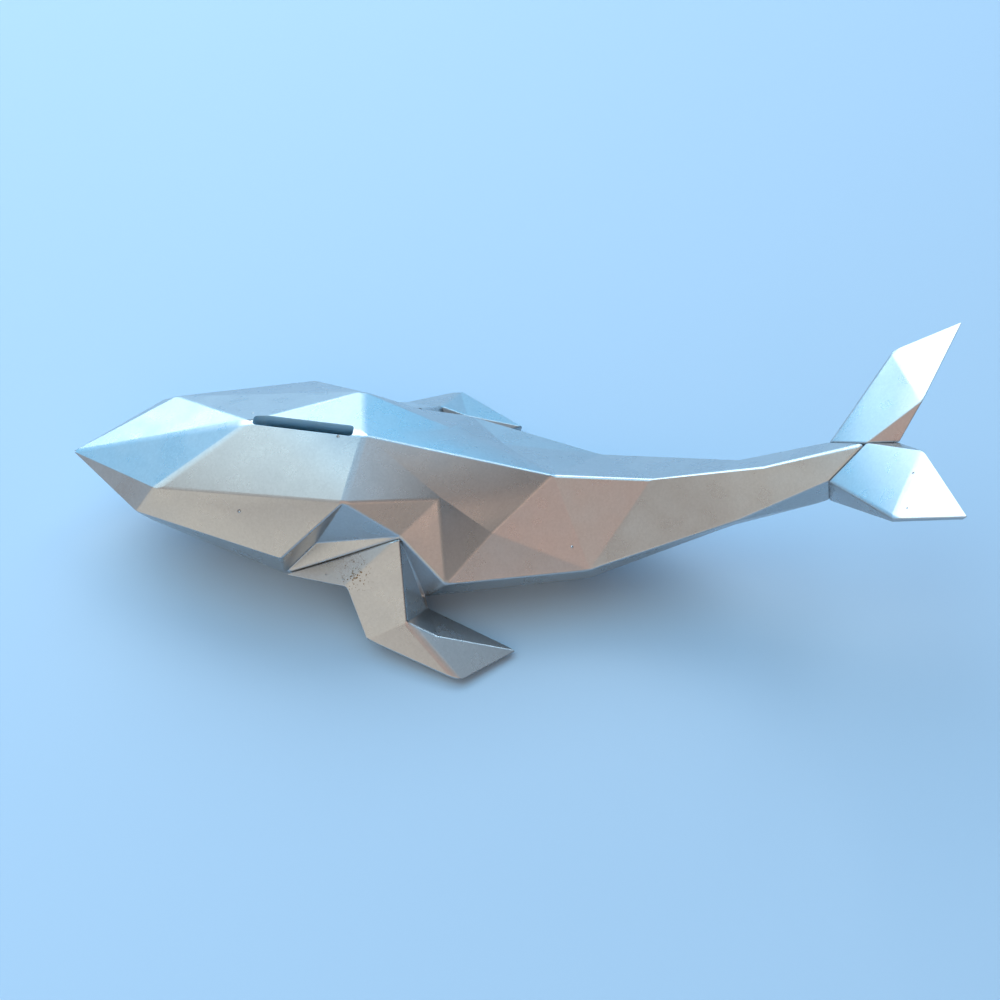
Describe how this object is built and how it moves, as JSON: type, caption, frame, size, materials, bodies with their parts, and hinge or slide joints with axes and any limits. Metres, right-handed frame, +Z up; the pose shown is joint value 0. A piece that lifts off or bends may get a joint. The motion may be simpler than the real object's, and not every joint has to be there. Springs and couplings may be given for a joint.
{
  "type": "whale coin bank",
  "caption": "Faceted whale coin bank in satin silver: hollow body with a coin slot in the head, glued-on flippers and tail flukes, and a pull-out stopper in the flat belly.",
  "frame": {"origin": "on the ground, midway along the length and width of the whale", "axes": "+X from the nose to the tail, +Y to the whale's right side, +Z up"},
  "size_m": [0.2802, 0.1168, 0.0869],
  "materials": {
    "silver_paint": "satin silver metallic paint sprayed on cast resin",
    "dowel_steel": "plain drawn steel rod",
    "stopper_rubber": "matt black moulded soft rubber"
  },
  "bodies": {
    "whale": {"body_shell": "silver_paint", "left_flipper": "silver_paint", "right_flipper": "silver_paint", "left_fluke": "silver_paint", "right_fluke": "silver_paint", "left_flipper_dowel": "dowel_steel", "right_flipper_dowel": "dowel_steel", "left_fluke_dowel": "dowel_steel", "right_fluke_dowel": "dowel_steel"},
    "stopper": {"belly_stopper": "stopper_rubber"}
  },
  "joints": [
    {"name": "stopper_pull", "type": "slide", "parent": "whale", "child": "stopper", "axis": [0, 0, -1], "range_m": [0, 0.014]}
  ]
}
